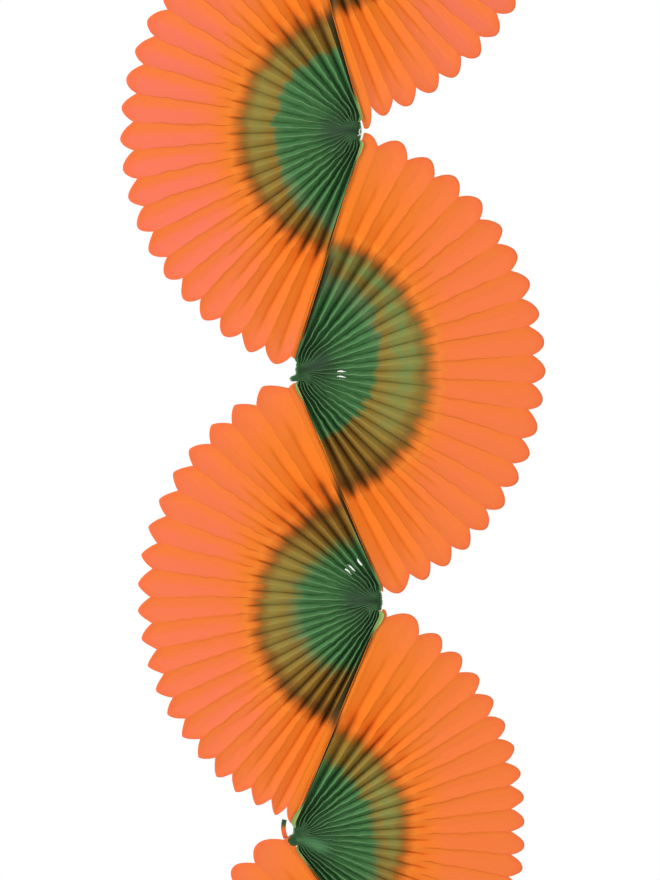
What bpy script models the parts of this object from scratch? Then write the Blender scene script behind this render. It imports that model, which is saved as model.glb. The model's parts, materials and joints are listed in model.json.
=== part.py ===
"""Paper fan garland: six pleated tissue fans, glued leaf to leaf into one hanging zigzag.

Metres, +Z up, front of the garland facing -Y. The origin is the hanging hole in the top end card.
Each fan turns about a hub, an axis along Y. Fans open to the right and to the left in turn, and
neighbouring fans share a seam, the line where the last leaf of one is glued to the first leaf of the next.
Every fold is a straight line that leaves the hub. Even folds are ridges in front, which end in the notches
between two petals. Odd folds are valleys behind, which end in the petals' tips.
"""

import math

import bmesh
import bpy
from mathutils import Vector

# Seams from the top end to the bottom end: lean from straight down, in degrees, positive to the right
SEAM_LEANS = (-15.0, 12.8, -14.2, 19.7, -19.7, 31.7, -19.7)
# How far each next hub lies past the tip of the leaves that lead to it
HUBS_PAST_TIP = (0.0044, 0.0022, -0.0011, 0.0027, -0.0101)
HOLE_PAST_TIP = 0.0090  # the same for the hanging hole in each end card

# Leaves
LEAF_LENGTH = 0.147  # from the hub's centre to a petal's tip
NOTCH_DEPTH = 0.0085  # from a petal's tip down to the notch beside it
PANEL_WIDTH = 0.0105  # from one fold to the next, across the flat paper
PAPER = 0.00015  # wall of the pleated tissue
PETALS = 20  # full petals in one fan
SECTIONS = 5  # lengths of pleated tissue that are glued into one fan
PITCH_TAPER = 0.27  # how much wider the upper petals are than the lower ones, of the mean
FIRST_LEAF_ANGLE = 4.0  # degrees that the folded leaf at the top of a fan covers
LAST_LEAF_ANGLE = 2.0  # degrees that the folded leaf at the bottom of a fan covers
CARD_LEAF_ANGLE = 0.5  # the same where the leaf lies on an end card
GLUED_SHARE = 0.2  # share of an end leaf's angle that its glued panel takes
LEAF_PAST_HUB = 0.004  # how far an end leaf may reach past the next hub

# Hubs
STACK_HALF = 0.0036  # half the thickness of all the leaves of one fan pressed together
GATHER_DEPTH = 0.0120  # length of the gathered core along its axis
WAIST_WIDTH = 0.0015  # groove round the core that the binding thread lies in
WAIST_DEPTH = 0.0012
CORE_CHAMFER = 0.0008
THREAD_WIDTH = 0.0008

# End cards
CARD_THICKNESS = 0.0012
CARD_WIDTH = 0.0160
CARD_START = 0.0120  # from the hub to the card's near end
CARD_PAST_HOLE = 0.0090  # from the hole's centre to the card's far end
HOLE_WIDTH = 0.0080

GAP = 0.0003  # clearance between neighbouring pieces

# Distances from the hub at which a fold line gets a point, as shares of the way to the notches
STATIONS = (0.09, 0.22, 0.52, 1.0)
FLATTEST = 0.2  # least depth of the pleats, of the panel width
# Sides of the round shapes, and the angle from which an edge of one is shaded sharp
CORE_SIDES = 20
THREAD_SIDES = 6
HOLE_SIDES = 24
CARD_END_STEPS = 12
SHARP_EDGE = 40.0

TISSUE_ORANGE = (0.93, 0.26, 0.05)
CORE_GREEN = (0.06, 0.17, 0.07)
THREAD_WHITE = (0.80, 0.79, 0.74)
CARD_BUFF = (0.62, 0.47, 0.30)

# Distance between the two hubs that a seam joins, and at each end from the hub to the card's hole
SEAM_LENGTHS = [LEAF_LENGTH + past for past in (HOLE_PAST_TIP, *HUBS_PAST_TIP, HOLE_PAST_TIP)]
PANEL_COUNT_PER_LEAF = 2  # panels in each of the two end leaves
PANELS = 2 * PETALS + 2 * PANEL_COUNT_PER_LEAF
# Folds where one piece of a fan ends and the next begins, and the thickness that a panel has in the stack
SECTION_EDGES = [PANEL_COUNT_PER_LEAF + 2 * (PETALS * n // SECTIONS) for n in range(SECTIONS + 1)]
PIECE_EDGES = [0, *SECTION_EDGES, PANELS]
STACK_STEP = (2 * STACK_HALF - GAP * (len(PIECE_EDGES) - 1)) / PANELS
NOTCH_RADIUS = LEAF_LENGTH - NOTCH_DEPTH
CORE_RADIUS = STACK_HALF - PAPER / 2 - GAP


def clear_scene():
    for old in list(bpy.data.objects):
        bpy.data.objects.remove(old)


def make_material(name, colour, roughness):
    material = bpy.data.materials.new(name)
    material.use_nodes = True
    shader = material.node_tree.nodes["Principled BSDF"]
    shader.inputs["Base Color"].default_value = (*colour, 1.0)
    shader.inputs["Roughness"].default_value = roughness
    shader.inputs["Metallic"].default_value = 0.0
    return material


def polar(angle, length=1.0):
    """A point in the garland's plane, as (x, z), at an angle from +X."""
    return Vector((math.cos(angle) * length, math.sin(angle) * length))


def seam_points():
    """The top hole, the six hubs and the bottom hole, as (x, z)."""
    points = [Vector((0.0, 0.0))]
    for lean, length in zip(SEAM_LEANS, SEAM_LENGTHS):
        points.append(points[-1] + polar(math.radians(lean - 90.0), length))
    return points


class Fan:
    """One fan: its hub, the way it turns from its first leaf to its last, and its fold lines."""

    def __init__(self, number, points):
        last_number = len(points) - 2
        self.number = number
        self.hub = points[number]
        self.turn = -1 if number % 2 else 1
        self.at_top = number == 1
        self.at_bottom = number == last_number
        self.first = self.seam_angle(points[number - 1], -1, self.at_top)
        last = self.seam_angle(points[number + 1], 1, self.at_bottom)
        self.opening = (self.turn * (last - self.first)) % (2 * math.pi)
        self.angles = self.fold_angles()

    def seam_angle(self, other, end, has_card):
        """The direction of the seam, which touches the stacks of both hubs, or lies on a card."""
        way = other - self.hub
        aside = 2 * STACK_HALF
        if has_card:
            aside = STACK_HALF + GAP / 2 + CARD_THICKNESS / 2
        return math.atan2(way.y, way.x) - math.asin(end * self.turn * aside / way.length)

    def fold_angles(self):
        """Angle of each fold from the first leaf's edge."""
        first = math.radians(CARD_LEAF_ANGLE if self.at_top else FIRST_LEAF_ANGLE)
        last = math.radians(CARD_LEAF_ANGLE if self.at_bottom else LAST_LEAF_ANGLE)
        mean = (self.opening - first - last) / PETALS
        angles = [0.0, GLUED_SHARE * first, first]
        for petal in range(PETALS):
            share = 0.5 - (petal + 0.5) / PETALS
            half_pitch = mean * (1 + PITCH_TAPER * share) / 2
            angles += [angles[-1] + half_pitch, angles[-1] + 2 * half_pitch]
        return angles + [self.opening - GLUED_SHARE * last, self.opening]

    def place(self, fold, radius, aside=0.0):
        """(x, z) of the point of a fold that lies at a radius, moved aside in the fan's turning sense."""
        angle = self.first + self.turn * self.angles[fold]
        offset = stack_offset(fold) + aside
        along = math.sqrt(max(radius**2 - offset**2, 0.0))
        return self.hub + polar(angle, along) + polar(angle + math.pi / 2, self.turn * offset)


def is_tip(fold):
    """Odd folds are valleys and run out to a petal's tip; even folds are ridges and end in a notch."""
    return fold % 2 == 1


def stack_offset(fold):
    """How far a fold lies from the middle of the fan's pressed stack, first leaf to last."""
    gaps = sum(1.0 if edge < fold else 0.5 for edge in PIECE_EDGES if edge <= fold)
    return -STACK_HALF + STACK_STEP * fold + GAP * (gaps - 0.5)


class Sheet:
    """A pleated sheet between two folds of a fan, with one front and one back point at each place."""

    def __init__(self, fan, first_fold, last_fold, reach=LEAF_LENGTH):
        self.fan = fan
        self.folds = range(first_fold, last_fold + 1)
        self.reach = reach
        self.mesh = bmesh.new()
        self.front = {}
        self.back = {}

    def aside(self, fold):
        """Both end folds stand off their neighbours by half the gap."""
        if fold == self.folds[0]:
            return GAP / 2
        if fold == self.folds[-1]:
            return -GAP / 2
        return 0.0

    def spacing(self, fold, radius):
        """Distance from a fold to its neighbours in this sheet, the mean where it has two."""
        low, high = max(fold - 1, self.folds[0]), min(fold + 1, self.folds[-1])
        step = (self.fan.angles[high] - self.fan.angles[low]) / (high - low)
        along = math.sqrt(max(radius**2 - stack_offset(fold) ** 2, 0.0))
        return STACK_STEP + along * step

    def depths(self, fold, radius):
        """y of the sheet's front and back at a fold."""
        spacing = self.spacing(fold, radius)
        half = max(PANEL_WIDTH**2 - spacing**2, (FLATTEST * PANEL_WIDTH) ** 2) ** 0.5 / 2
        wall = min(PAPER * PANEL_WIDTH / spacing, half)
        if is_tip(fold):
            return half - wall, half
        return -half, wall - half

    def add_place(self, key, where, depths):
        hub = self.fan.hub
        for side, y in zip((self.front, self.back), depths):
            side[key] = self.mesh.verts.new((where.x - hub.x, y, where.y - hub.y))

    def add_fold(self, fold):
        inner = CORE_RADIUS + GAP + PAPER / 2
        notch = min(NOTCH_RADIUS, self.reach - NOTCH_DEPTH)
        radii = [inner] + [notch * share for share in STATIONS]
        if is_tip(fold):
            radii.append(self.reach)
        for row, radius in enumerate(radii):
            where = self.fan.place(fold, radius, self.aside(fold))
            self.add_place((fold, row), where, self.depths(fold, radius))

    def add_scallop(self, fold):
        """The point half way along the curved edge between a petal's tip and the notch beside it."""
        middle = self.reach - NOTCH_DEPTH / 4
        ends = [self.fan.place(line, middle, self.aside(line)) for line in (fold, fold + 1)]
        sides = [self.depths(line, middle) for line in (fold, fold + 1)]
        depths = [(a + b) / 2 for a, b in zip(*sides)]
        self.add_place((fold, "edge"), (ends[0] + ends[1]) / 2, depths)

    def triangles(self, fold):
        """One panel as triangles of places, the same on the front and on the back."""
        last = len(STATIONS)
        tip, notch = (fold, fold + 1) if is_tip(fold) else (fold + 1, fold)
        pieces = [
            [(fold, row), (fold, row + 1), (fold + 1, row + 1), (fold + 1, row)]
            for row in range(last)
        ]
        end = [(tip, last), (tip, last + 1), (fold, "edge"), (notch, last)]
        pieces.append(end if tip == fold else end[::-1])
        return [(piece[0], *pair) for piece in pieces for pair in zip(piece[1:], piece[2:])]

    def rim(self):
        """The places round the sheet's edge, in order."""
        last = len(STATIONS)
        first_fold, last_fold = self.folds[0], self.folds[-1]

        def rows(fold):
            return range(last + 2 if is_tip(fold) else last + 1)

        out = [(first_fold, row) for row in rows(first_fold)]
        for fold in self.folds[:-1]:
            out.append((fold, "edge"))
            out.append((fold + 1, rows(fold + 1)[-1]))
        out += [(last_fold, row) for row in reversed(rows(last_fold)[:-1])]
        out += [(fold, 0) for fold in reversed(self.folds[1:-1])]
        return out

    def build(self):
        for fold in self.folds:
            self.add_fold(fold)
        for fold in self.folds[:-1]:
            self.add_scallop(fold)
            for triangle in self.triangles(fold):
                self.mesh.faces.new([self.front[key] for key in triangle])
                self.mesh.faces.new([self.back[key] for key in reversed(triangle)])
        rim = self.rim()
        for here, there in zip(rim, rim[1:] + rim[:1]):
            corners = self.front[there], self.front[here], self.back[here], self.back[there]
            self.mesh.faces.new(corners)
        if self.fan.turn < 0:
            bmesh.ops.reverse_faces(self.mesh, faces=self.mesh.faces)
        return self.mesh


def turned(profile, segments, closed):
    """A shape turned about Y from (radius, y) points. A closed profile makes a ring."""
    mesh = bmesh.new()
    rows = []
    for step in range(segments):
        turn = polar(2 * math.pi * step / segments)
        rows.append([mesh.verts.new((r * turn.x, y, r * turn.y)) for r, y in profile])
    ends = [] if closed else [(0, mesh.verts.new((0, profile[0][1], 0)))]
    if not closed:
        ends.append((-1, mesh.verts.new((0, profile[-1][1], 0))))
    count = len(profile)
    for row, after in zip(rows, rows[1:] + rows[:1]):
        for i in range(count if closed else count - 1):
            k = (i + 1) % count
            mesh.faces.new((row[i], row[k], after[k], after[i]))
        for end, middle in ends:
            mesh.faces.new((row[end], after[end], middle))
    bmesh.ops.recalc_face_normals(mesh, faces=mesh.faces)
    return mesh


def hub_core():
    """The bunched and glued inner ends of the leaves, with a waist for the thread."""
    end, shoulder = GATHER_DEPTH / 2, CORE_RADIUS - CORE_CHAMFER
    waist, floor = WAIST_WIDTH / 2, CORE_RADIUS - WAIST_DEPTH
    half = [
        (shoulder, end),
        (CORE_RADIUS, end - CORE_CHAMFER),
        (CORE_RADIUS, waist),
        (floor, waist),
    ]
    return turned([(r, -y) for r, y in half] + half[::-1], CORE_SIDES, False)


def thread_loop():
    """The binding thread, laid in the core's waist."""
    thread = THREAD_WIDTH / 2
    middle = CORE_RADIUS - WAIST_DEPTH + GAP + thread
    ring = [polar(2 * math.pi * step / THREAD_SIDES, thread) for step in range(THREAD_SIDES)]
    return turned([(middle + p.x, p.y) for p in ring], CORE_SIDES, True)


def end_card(fan, end):
    """A stiff strip on the outer face of an end leaf, with a round hanging hole past the leaf's tip."""
    fold = 0 if end < 0 else PANELS
    angle = fan.first + fan.turn * fan.angles[fold]
    along, normal = polar(angle), polar(angle + math.pi / 2)
    hole = SEAM_LENGTHS[0 if end < 0 else -1]
    middle = fan.turn * end * (STACK_HALF + GAP / 2 + CARD_THICKNESS / 2)
    hole_at = math.sqrt(hole**2 - middle**2)
    outline = card_outline(hole_at)
    mesh = bmesh.new()
    rings = []
    for side in (-1, 1):
        away = normal * (middle + side * CARD_THICKNESS / 2)
        points = [along * reach + away for reach, y in outline]
        rings.append([mesh.verts.new((p.x, y, p.y)) for p, (reach, y) in zip(points, outline)])
    edges = [mesh.edges.new((a, b)) for ring in rings for a, b in zip(ring, ring[1:] + ring[:1])]
    bmesh.ops.bridge_loops(mesh, edges=edges)
    for ring in rings:
        mesh.faces.new(ring)
    bmesh.ops.recalc_face_normals(mesh, faces=mesh.faces)
    return mesh, along * hole_at + normal * middle, normal


def card_outline(hole_at):
    """The strip's outline, as (distance from the hub, y): square at the hub end, round at the far end."""
    half = CARD_WIDTH / 2
    far = hole_at + CARD_PAST_HOLE - half
    turns = [math.pi * (step / CARD_END_STEPS - 0.5) for step in range(CARD_END_STEPS + 1)]
    round_end = [(far + half * math.cos(turn), half * math.sin(turn)) for turn in turns]
    return [(CARD_START, half), (CARD_START, -half)] + round_end


def hole_cutter(name, where, normal):
    """A wire cylinder through the card, which cuts the hanging hole."""
    mesh = bpy.data.meshes.new(name)
    work = bmesh.new()
    bmesh.ops.create_cone(
        work,
        segments=HOLE_SIDES,
        cap_ends=True,
        radius1=HOLE_WIDTH / 2,
        radius2=HOLE_WIDTH / 2,
        depth=2 * CARD_WIDTH,
    )
    work.to_mesh(mesh)
    work.free()
    cutter = bpy.data.objects.new(name, mesh)
    bpy.context.collection.objects.link(cutter)
    cutter.hide_render = True
    cutter.display_type = "WIRE"
    cutter.location = (where.x, 0.0, where.y)
    cutter.rotation_euler = Vector((normal.x, 0.0, normal.y)).to_track_quat("Z", "Y").to_euler()
    return cutter


def add_object(name, mesh, material, parent, smooth=False):
    """Link a piece whose mesh is measured from its parent's place, a hub's axis."""
    data = bpy.data.meshes.new(name)
    mesh.to_mesh(data)
    mesh.free()
    data.materials.append(material)
    if smooth:
        data.shade_smooth()
        data.set_sharp_from_angle(angle=math.radians(SHARP_EDGE))
    piece = bpy.data.objects.new(name, data)
    bpy.context.collection.objects.link(piece)
    piece.parent = parent
    return piece


def add_hinge(name, where, parent, parent_at):
    """An empty on a hub's axis, which carries all that turns there."""
    hinge = bpy.data.objects.new(name, None)
    bpy.context.collection.objects.link(hinge)
    hinge.parent = parent
    hinge.location = (where.x - parent_at.x, 0.0, where.y - parent_at.y)
    return hinge


def leaf_reach(number):
    """An end leaf's length beside the seam of this number, which a short seam limits."""
    if number in (0, len(SEAM_LENGTHS) - 1):
        return LEAF_LENGTH
    return min(LEAF_LENGTH, SEAM_LENGTHS[number] + LEAF_PAST_HUB)


def add_card(name, fan, end, material, hinge):
    mesh, hole, normal = end_card(fan, end)
    card = add_object(name, mesh, material, hinge)
    cutter = hole_cutter(name + "_hole_cutter", fan.hub + hole, normal)
    cut = card.modifiers.new("hanging hole", "BOOLEAN")
    cut.operation = "DIFFERENCE"
    cut.object = cutter


def add_fan(fan, materials, hinge):
    name = f"fan_{fan.number}"
    for section in range(1, SECTIONS + 1):
        sheet = Sheet(fan, PIECE_EDGES[section], PIECE_EDGES[section + 1]).build()
        add_object(f"{name}_petals_{section}", sheet, materials["tissue"], hinge)
    first = Sheet(fan, PIECE_EDGES[0], PIECE_EDGES[1], leaf_reach(fan.number - 1)).build()
    add_object(f"{name}_first_leaf", first, materials["tissue"], hinge)
    last = Sheet(fan, PIECE_EDGES[-2], PIECE_EDGES[-1], leaf_reach(fan.number)).build()
    add_object(f"{name}_last_leaf", last, materials["tissue"], hinge)
    add_object(f"{name}_hub_gather", hub_core(), materials["core"], hinge, True)
    add_object(f"{name}_binding_thread", thread_loop(), materials["thread"], hinge, True)


def make_fans():
    points = seam_points()
    return [Fan(number, points) for number in range(1, len(points) - 1)]


def main():
    clear_scene()
    materials = {
        "tissue": make_material("orange tissue paper", TISSUE_ORANGE, 0.85),
        "core": make_material("green tissue, bunched", CORE_GREEN, 0.9),
        "thread": make_material("white cotton thread", THREAD_WHITE, 0.8),
        "card": make_material("buff cardboard", CARD_BUFF, 0.75),
    }
    hinge, hinge_at = None, Vector((0.0, 0.0))
    fans = make_fans()
    for fan in fans:
        hinge = add_hinge(f"fan_{fan.number}_hinge", fan.hub, hinge, hinge_at)
        hinge_at = fan.hub
        add_fan(fan, materials, hinge)
        if fan.at_top:
            add_card("top_card", fan, -1, materials["card"], hinge)
        if fan.at_bottom:
            add_card("bottom_card", fan, 1, materials["card"], hinge)
    bpy.context.view_layer.update()


main()
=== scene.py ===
"""Looks of the paper fan garland: dyed, pleated tissue fans, bunched hubs, binding threads and end cards."""

import json
import math

import bmesh
import bpy
import numpy as np
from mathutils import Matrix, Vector

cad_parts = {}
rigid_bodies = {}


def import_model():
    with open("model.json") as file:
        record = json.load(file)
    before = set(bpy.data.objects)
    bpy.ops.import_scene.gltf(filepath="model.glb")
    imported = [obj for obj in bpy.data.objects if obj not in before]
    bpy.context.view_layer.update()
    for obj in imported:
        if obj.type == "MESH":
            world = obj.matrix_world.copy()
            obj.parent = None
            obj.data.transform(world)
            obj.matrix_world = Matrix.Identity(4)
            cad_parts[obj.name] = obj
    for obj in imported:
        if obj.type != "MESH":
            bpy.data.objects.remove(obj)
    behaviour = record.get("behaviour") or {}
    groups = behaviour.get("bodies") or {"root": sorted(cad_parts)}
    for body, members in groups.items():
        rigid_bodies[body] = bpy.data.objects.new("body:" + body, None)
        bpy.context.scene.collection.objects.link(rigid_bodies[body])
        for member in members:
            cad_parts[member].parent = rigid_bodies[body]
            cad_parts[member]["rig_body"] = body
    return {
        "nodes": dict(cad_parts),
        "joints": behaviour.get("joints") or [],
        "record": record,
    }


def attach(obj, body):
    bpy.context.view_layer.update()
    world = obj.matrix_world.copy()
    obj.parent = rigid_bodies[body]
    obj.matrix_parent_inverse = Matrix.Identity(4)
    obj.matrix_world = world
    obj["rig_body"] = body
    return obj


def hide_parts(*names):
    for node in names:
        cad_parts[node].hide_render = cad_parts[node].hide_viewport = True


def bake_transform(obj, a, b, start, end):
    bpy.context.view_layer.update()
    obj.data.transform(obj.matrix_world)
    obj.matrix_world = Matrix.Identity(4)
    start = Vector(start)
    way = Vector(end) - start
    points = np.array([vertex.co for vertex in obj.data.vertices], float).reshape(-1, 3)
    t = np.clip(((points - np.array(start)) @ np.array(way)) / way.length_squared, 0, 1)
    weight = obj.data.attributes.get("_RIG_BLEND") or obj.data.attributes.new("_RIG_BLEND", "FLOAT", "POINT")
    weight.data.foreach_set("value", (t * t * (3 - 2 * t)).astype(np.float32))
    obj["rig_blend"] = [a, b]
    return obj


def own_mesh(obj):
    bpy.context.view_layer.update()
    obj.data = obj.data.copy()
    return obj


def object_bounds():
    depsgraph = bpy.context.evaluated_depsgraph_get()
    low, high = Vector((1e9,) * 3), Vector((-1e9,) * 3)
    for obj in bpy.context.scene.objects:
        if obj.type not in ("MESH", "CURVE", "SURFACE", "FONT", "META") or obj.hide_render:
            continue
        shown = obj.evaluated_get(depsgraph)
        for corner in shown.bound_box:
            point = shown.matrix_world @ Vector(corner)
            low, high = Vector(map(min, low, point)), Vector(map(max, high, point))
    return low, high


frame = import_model()
cad_low, cad_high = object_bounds()

# Leaves, in metres and degrees, as the garland was pleated
LEAF_LENGTH = 0.147
NOTCH_DEPTH = 0.0077
PANEL_WIDTH = 0.0105
PAPER = 0.00016
PETALS = 20
SECTIONS = 5
SECTION_PETALS = PETALS // SECTIONS
PITCH_TAPER = 0.27
FIRST_LEAF_ANGLE = 4.0
LAST_LEAF_ANGLE = 2.0
CARD_LEAF_ANGLE = 0.5
GLUED_SHARE = 0.2
STACK_HALF = 0.0036
CARD_ASIDE = 0.00435

# Mesh density of the pleated tissue, and how far the grid's lines are drawn together at the folds
PETAL_STEPS = 20
ROWS = 112
DRAWN_TO_FOLDS = 0.62

# A petal's outline: where its tip lies between two notches and how far that wanders, the curve of the edge
# before and after the tip and how much a pointed petal loses of each, and the uneven reach in metres
TIP_PLACE = 0.555
TIP_WANDER = 0.22
BEFORE_TIP = 1.8
AFTER_TIP = 2.4
POINTED_BEFORE = 0.5
POINTED_AFTER = 1.0
REACH_WANDER = 0.0022

# Depth of the pleats in metres: ridges in front of the garland's plane (-Y) and valleys behind it
RIDGE_HEIGHT = 0.0043
SHALLOW_DEPTH = 0.0013
PRESSED_DEPTH = 0.0005
LEAF_DEPTH = 0.0026
LEAF_DEPTH_OUTSIDE = 0.0006
WRINKLE_DEPTH = 0.0009
CREASE_GROOVE = 0.00032
GROOVE_WIDTH = 0.00055
# Share of the full depth on a fan's middle petals and on its end petals
MIDDLE_DEPTH = 0.30
END_DEPTH = 0.8
# Radius at which the valleys turn shallow, and where they do so at a fan's first and last notch, where they
# run further out, with the change for each petal
FLAT_FROM = 0.078
DEEP_AT_TOP = 0.108
DEEP_LESS_A_PETAL = 0.0055
DEEP_AT_BOTTOM = 0.134
DEEP_MORE_A_PETAL = 0.0088

# Where the tissue starts at the hub, half the width of the bunch there, and how many petals a seam leaf moves
HUB_START = 0.0026
BUNDLE_HALF = 0.0054
SHIFTED_PETALS = 1.6
# Metres from the hub up to which a leaf stays in the bunch, and where it is free of it: at the seams, and how
# much further out in a fan's middle. In the bunch its distance from the hub is this share of the free one,
# less the part that lies behind the pivot.
BUNCHED_TO = 0.002
FREE_AT_SEAMS = 0.007
FREE_LATER_IN_MIDDLE = 0.014
BUNCHED_SHARE = 0.8
BEHIND_PIVOT = 0.0018
# Wander of the folds: in radians all along, and in metres at the creases and near the hub
FOLD_WANDER = 0.020
CREASE_WANDER = 0.0026
RIPPLE = 0.0022

# A petal's usual angle at the hub in radians, and half the width of its crease line in millimetres
PETAL_ANGLE = 0.13
CREASE_HALF_WIDTH = 0.36
# Millimetres that the shade in a valley reaches past its depth, and the rim of the smooth dome at the hub
SHADED_PAST_TOP = 14.0
SHADED_PAST_BOTTOM = 10.0
DOME_EDGE = (16.0, 26.0)
# Noise for the tissue's fibres, in changes a metre, and the shine of every material
FIBRE_SCALE = 900.0
DULL_SHINE = 0.25

# How each fan was dyed, at its first leaf, between its five sections and at its last leaf: the outer edge of
# the brown ring and of the green core, in metres from the hub, the share of dark brown against tan in the
# ring, and the strength of the second green band in it. Pink is how far the petals blush.
DYE = {
    1: dict(
        ring=(0.079, 0.079, 0.079, 0.079, 0.079, 0.079),
        pink=0.7,
        green=(0.050, 0.053, 0.058, 0.056, 0.048, 0.046),
        brown=(0.6, 0.4, 0.3, 0.4, 0.7, 0.8),
        echo=(0.0, 0.3, 0.4, 0.3, 0.1, 0.0),
    ),
    2: dict(
        ring=(0.072, 0.072, 0.073, 0.074, 0.074, 0.073),
        pink=0.8,
        green=(0.050, 0.052, 0.051, 0.052, 0.058, 0.060),
        brown=(0.7, 0.4, 0.3, 0.6, 0.9, 0.8),
        echo=(0.1, 0.25, 0.35, 0.2, 0.1, 0.0),
    ),
    3: dict(
        ring=(0.082, 0.081, 0.081, 0.081, 0.080, 0.078),
        pink=0.1,
        green=(0.062, 0.060, 0.049, 0.045, 0.043, 0.042),
        brown=(0.7, 0.5, 0.25, 0.15, 0.55, 1.0),
        echo=(0.6, 0.8, 0.8, 0.5, 0.15, 0.0),
    ),
    4: dict(
        ring=(0.066, 0.069, 0.074, 0.078, 0.080, 0.079),
        pink=0.4,
        green=(0.040, 0.045, 0.052, 0.056, 0.052, 0.044),
        brown=(0.85, 0.6, 0.3, 0.5, 0.8, 0.9),
        echo=(0.0, 0.1, 0.25, 0.2, 0.1, 0.0),
    ),
    5: dict(
        ring=(0.069, 0.070, 0.069, 0.067, 0.067, 0.067),
        pink=-0.3,
        green=(0.048, 0.048, 0.047, 0.050, 0.056, 0.055),
        brown=(0.1, 0.2, 0.3, 0.5, 0.8, 0.7),
        echo=(0.1, 0.4, 0.6, 0.3, 0.0, 0.0),
    ),
    6: dict(
        ring=(0.076, 0.077, 0.078, 0.078, 0.077, 0.076),
        pink=0.6,
        green=(0.050, 0.049, 0.052, 0.050, 0.048, 0.050),
        brown=(0.6, 0.4, 0.4, 0.6, 0.8, 0.8),
        echo=(0.0, 0.3, 0.4, 0.3, 0.1, 0.0),
    ),
}
# Reach of the petals' tips as shares of the leaf length: at the first leaf, the middle and the last leaf
REACH = {
    1: (1.0, 1.0, 1.0),
    2: (0.975, 0.972, 1.012),
    3: (1.028, 1.008, 0.99),
    4: (0.997, 0.986, 0.972),
    5: (1.02, 0.93, 0.965),
    6: (1.0, 1.0, 1.0),
}
# The glued leaves as they show: degrees between the seam and the next notch, and the reach of the rounded
# end in metres, for the first leaf and then the last
SEAM_LEAVES = {
    1: ((0.5, 0.143), (3.0, 0.1514)),
    2: ((3.6, 0.1475), (1.2, 0.1420)),
    3: ((4.0, 0.1490), (0.6, 0.1410)),
    4: ((2.3, 0.1405), (3.4, 0.1433)),
    5: ((1.6, 0.1460), (2.0, 0.1420)),
    6: ((1.4, 0.1390), (0.5, 0.1430)),
}
# How far the pale inner ends of the first and last leaf stand out beside the hub, in metres
STRIPS = {
    1: (0.0, 0.0010),
    2: (0.0003, 0.0012),
    3: (0.0, 0.0011),
    4: (0.0002, 0.0018),
    5: (0.0018, 0.0003),
    6: (0.0003, 0.0003),
}
# Petal at which the tissue is pressed to a smooth dome beside the hub, and the dome's width in petals
DOME_PETAL = {1: 9.0, 2: 9.5, 3: 7.0, 4: 9.0, 5: 13.5, 6: 9.0}
DOME_WIDTH = 4.6
# How brightly that dome is lit, and how far the petals' tips are drawn to a point
DOME_LIGHT = {5: 1.0}
POINTED = {2: 0.3, 4: 0.85}
# How strongly the petals' crease lines are drawn
CREASES = {1: 0.9, 2: 1.0, 3: 0.95, 4: 0.5, 5: 0.9, 6: 0.9}
# Half the width over which the green core's edge runs into the ring, in millimetres
CORE_SOFTNESS = {1: 2.5, 2: 2.5, 3: 2.5, 4: 7.5, 5: 5.0, 6: 3.0}
# Petals at which a slit between two glued sheets lets the light through, by fan, with the slits' distance
# from the hub and half their length and width in metres
SLITS = {3: (9.55, 10.52), 4: (1.1, 2.7, 3.62)}
SLIT_RADIUS = 0.0262
SLIT_HALF_LENGTH = 0.0027
SLIT_HALF_WIDTH = 0.00042
SLIT_INPUTS = ("Slit A", "Slit B", "Slit C")
NO_SLIT = -9.0

SEED_STEP = 11.0  # between the noise of one fan and the next

# Hubs: the leaf ends in a bunch, their wall, reach and height, and half the width that turns with the fold
LEAF_ENDS = 24
LEAF_END_STEPS = 9
LEAF_END_WALL = 0.00052
LEAF_END_REACH = 0.0095
BUNDLE_HEIGHT = 0.0050
BLEND_HALF = 0.0065
# How far a leaf end stands out behind the hub at least, more in the bunch's middle, and by chance; and the
# least share of the reach and of the height that chance leaves, with its spread
LEAF_END_BACK = 0.0004
BUNDLE_ROUNDING = 0.0008
BACK_SPREAD = 0.0005
REACH_SHARES = (0.9, 0.2)
HEIGHT_SHARES = (0.93, 0.1)
# A leaf end's share of its height at the start, the steps over which that rounds off, and its drop outwards
START_HEIGHT = 0.72
ROUNDED_STEPS = 2.5
OUTWARD_DROP = 0.12
# Metres from the hub at which a leaf end turns to its own direction, the length over which it does, and the
# share of its place in the bunch that it keeps
TURNS_FROM = 0.001
TURNS_OVER = 0.012
KEPT_ASIDE = 0.4
# Corner of the bunch that stands out, by fan: its place and width as shares of the bunch, and its length
CORNERS = {3: (0.87, 0.22, 0.0040), 5: (0.76, 0.34, 0.0056)}
NO_CORNER = (0.5, 1.0, 0.0)
# The scrap of tissue beside one hub: its ends from the hub as (x, z), its bulge and its width
TAB_FAN = 5
TAB_ENDS = ((-0.0060, -0.0014), (-0.0068, 0.0098))
TAB_BULGE = -0.0010
TAB_STEPS = 8
TAB_WIDTH = 0.0029

# The binding thread: its turns and thickness, and the half-lengths of a turn and its place along the bunch
THREAD_TURNS = 3
THREAD_STEPS = 24
THREAD_WIDTH = 0.0006
THREAD_ALONG = 0.0020
THREAD_ACROSS = 0.0050
THREAD_PLACE = 0.0018
THREAD_SPACING = 1.1  # from turn to turn, in widths
# Its loose tail at one hub: metres past the bundle's end, along it and behind the front
TAIL_FAN = 2
THREAD_TAIL = (
    (-0.0010, 0.0034, -0.0030),
    (-0.0004, 0.0030, -0.0056),
    (0.0014, 0.0018, -0.0064),
    (0.0017, 0.0004, -0.0062),
    (0.0010, -0.0010, -0.0062),
    (0.0003, -0.0004, -0.0064),
    (0.0001, 0.0012, -0.0064),
    (0.0008, 0.0024, -0.0062),
    (0.0016, 0.0030, -0.0060),
)

EASED_EDGE = 0.0002  # rounding of the end cards' cut edges

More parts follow.
